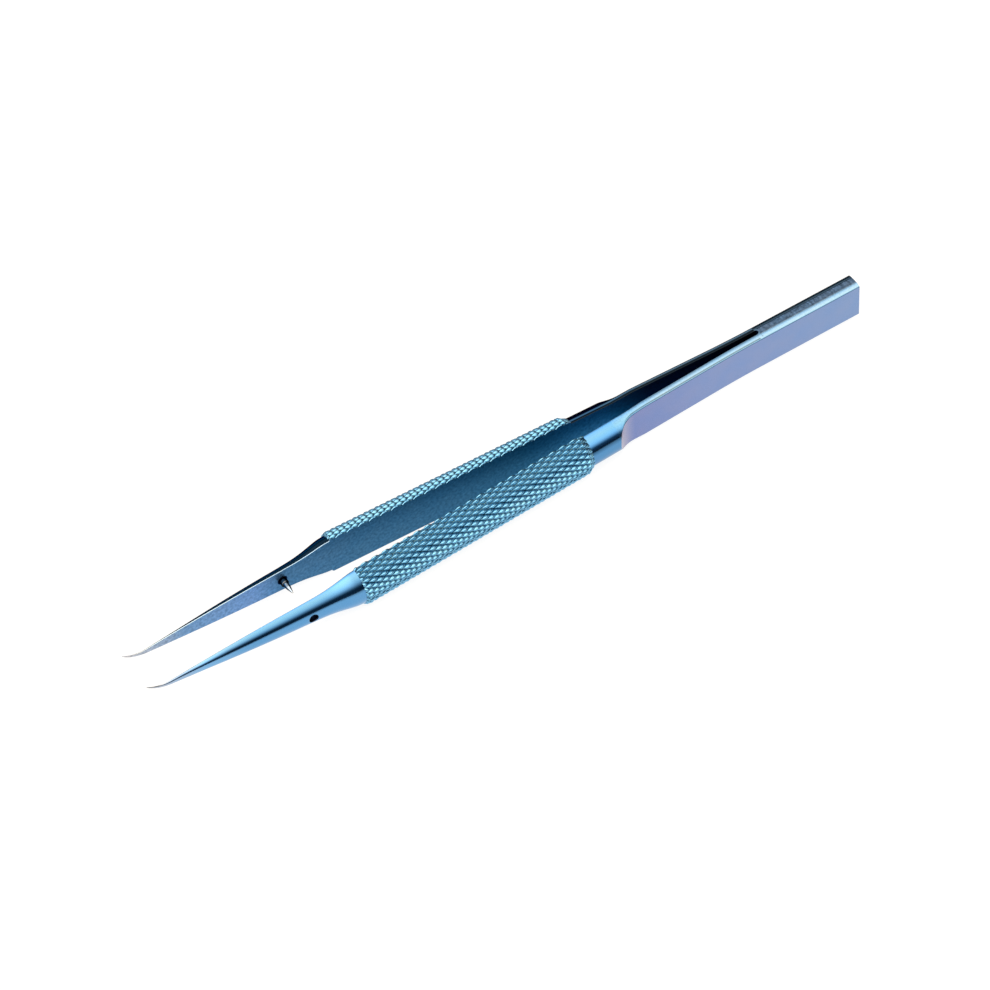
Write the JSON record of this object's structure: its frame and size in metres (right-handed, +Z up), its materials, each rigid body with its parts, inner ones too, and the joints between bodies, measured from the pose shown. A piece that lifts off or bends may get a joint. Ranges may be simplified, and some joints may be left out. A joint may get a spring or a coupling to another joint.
{
  "type": "precision tweezers",
  "caption": "Slim anodised precision tweezers with a half-round knurled grip, fine up-curved needle tips, a guide pin and a welded flat spring tail.",
  "frame": {"origin": "middle of the bounding box in X and Y, at the lowest point in Z", "axes": "+X along the tweezers towards the welded tail (the tips point to -X), +Z up (the tips curve up), the front arm at -Y and the rear arm at +Y"},
  "size_m": [0.1306, 0.0138, 0.0079],
  "materials": {
    "anodised_blue": "anodised titanium, satin blue",
    "anodised_flat": "anodised titanium, ground, periwinkle blue",
    "weld": "dressed weld bead, mottled grey-blue",
    "pin_steel": "polished"
  },
  "bodies": {
    "tail": {"front_tail_half": "anodised_flat", "rear_tail_half": "anodised_flat", "tail_weld_top": "weld", "tail_weld_bottom": "weld", "front_spring_leaf": "anodised_flat", "rear_spring_leaf": "anodised_flat"},
    "front_arm": {"front_neck": "anodised_blue", "front_grip": "anodised_blue", "front_blade": "anodised_blue"},
    "rear_arm": {"rear_neck": "anodised_blue", "rear_grip": "anodised_blue", "rear_blade": "anodised_blue", "guide_pin": "pin_steel"}
  },
  "joints": [
    {"name": "front_leaf_flex", "type": "hinge", "parent": "tail", "child": "front_arm", "pos_m": [0.03548, -0.00121, 0.00396], "axis": [0, 0, -1], "range_deg": [0, 1.95], "stiffness_Nm_per_rad": 3.3, "deforming": ["front_spring_leaf"]},
    {"name": "rear_leaf_flex", "type": "hinge", "parent": "tail", "child": "rear_arm", "pos_m": [0.03548, 0.00121, 0.00396], "axis": [0, 0, 1], "range_deg": [0, 1.95], "stiffness_Nm_per_rad": 3.3, "deforming": ["rear_spring_leaf"]}
  ],
  "couplings": [
    {"joint": "rear_leaf_flex", "follows": "front_leaf_flex", "ratio": 1}
  ]
}
